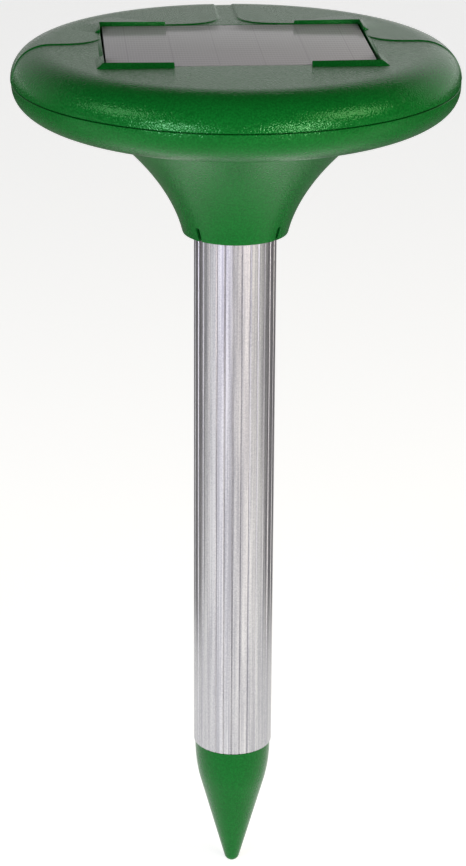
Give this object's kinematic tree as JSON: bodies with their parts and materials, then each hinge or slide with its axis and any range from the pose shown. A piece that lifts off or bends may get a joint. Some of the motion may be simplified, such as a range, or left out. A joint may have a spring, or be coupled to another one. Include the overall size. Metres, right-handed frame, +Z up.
{
  "type": "ultrasonic pest repeller",
  "caption": "Solar powered ground stake repeller: round mushroom head with a framed solar panel, grooved metal tube with the speaker inside, pointed spike.",
  "frame": {"origin": "tip of the ground spike, on the tube's axis", "axes": "+Z up along the tube from the spike to the head; +X along the solar panel's length; -Y is the front, the side away from the raised areas of the top"},
  "size_m": [0.16, 0.1596, 0.3301],
  "materials": {
    "green_abs": "fine spark-eroded grain, satin",
    "anodised_aluminium": "clear satin anodised, grooved along its length",
    "black_rubber": "matt",
    "black_plastic": "moulded",
    "white_nylon": "moulded",
    "panel_film": "clear gloss laminate",
    "silicon": "dark cells with printed silver lines",
    "circuit_board": "solder resist",
    "steel": "zinc plated",
    "spring_wire": "nickel plated",
    "cell_sleeve": "shrink sleeve",
    "ferrite": "sintered, matt",
    "cone_film": "translucent film",
    "red_wire": "soft PVC",
    "black_wire": "soft PVC"
  },
  "bodies": {
    "stake": {"spike": "green_abs", "spike_seal": "black_rubber", "tube": "anodised_aluminium", "tube_plug": "black_plastic", "jack_socket": "white_nylon", "speaker_holder": "black_plastic", "speaker_frame": "steel", "speaker_magnet": "ferrite", "speaker_lead_red": "red_wire", "speaker_lead_black": "black_wire"},
    "head": {"top_cover": "green_abs", "lower_cover": "green_abs", "rim_seal": "black_rubber", "panel_cover_sheet": "panel_film", "solar_cells": "silicon", "panel_board": "circuit_board", "panel_gasket": "black_rubber", "control_board": "circuit_board", "timer_chip": "black_plastic", "capacitor": "black_plastic", "board_screw_1": "steel", "board_screw_2": "steel", "wire_header_1": "white_nylon", "wire_header_2": "white_nylon", "wire_header_3": "white_nylon", "wire_header_4": "white_nylon", "battery_tray": "black_plastic", "battery_cell_1": "cell_sleeve", "battery_spring_1": "spring_wire", "battery_cell_2": "cell_sleeve", "battery_spring_2": "spring_wire", "battery_cell_3": "cell_sleeve", "battery_spring_3": "spring_wire", "contact_plate_1": "steel", "contact_plate_2": "steel", "contact_plate_3": "steel", "contact_plate_4": "steel", "switch_body": "black_plastic", "button_seal": "black_rubber", "plug_holder": "black_plastic", "jack_plug": "steel", "battery_lead_red": "red_wire", "battery_lead_black": "black_wire", "neck_lead_red": "red_wire", "neck_lead_black": "black_wire", "switch_lead_red": "red_wire", "switch_lead_black": "black_wire", "panel_lead_red": "red_wire", "panel_lead_black": "black_wire", "cover_screw_1": "steel", "cover_screw_2": "steel", "cover_screw_3": "steel", "cover_screw_4": "steel"},
    "button": {"power_button": "black_rubber", "switch_plunger": "white_nylon"},
    "cone": {"speaker_cone": "cone_film", "voice_coil": "spring_wire"}
  },
  "joints": [
    {"name": "head_lift", "type": "slide", "parent": "stake", "child": "head", "axis": [0, 0, 1], "range_m": [0, 0.045]},
    {"name": "power_button_press", "type": "slide", "parent": "head", "child": "button", "axis": [0, 0, 1], "range_m": [0, 0.0015], "stiffness_N_per_m": 400},
    {"name": "speaker_cone_travel", "type": "slide", "parent": "stake", "child": "cone", "axis": [0, 0, 1], "range_m": [-0.0003, 0.0003], "stiffness_N_per_m": 500}
  ]
}
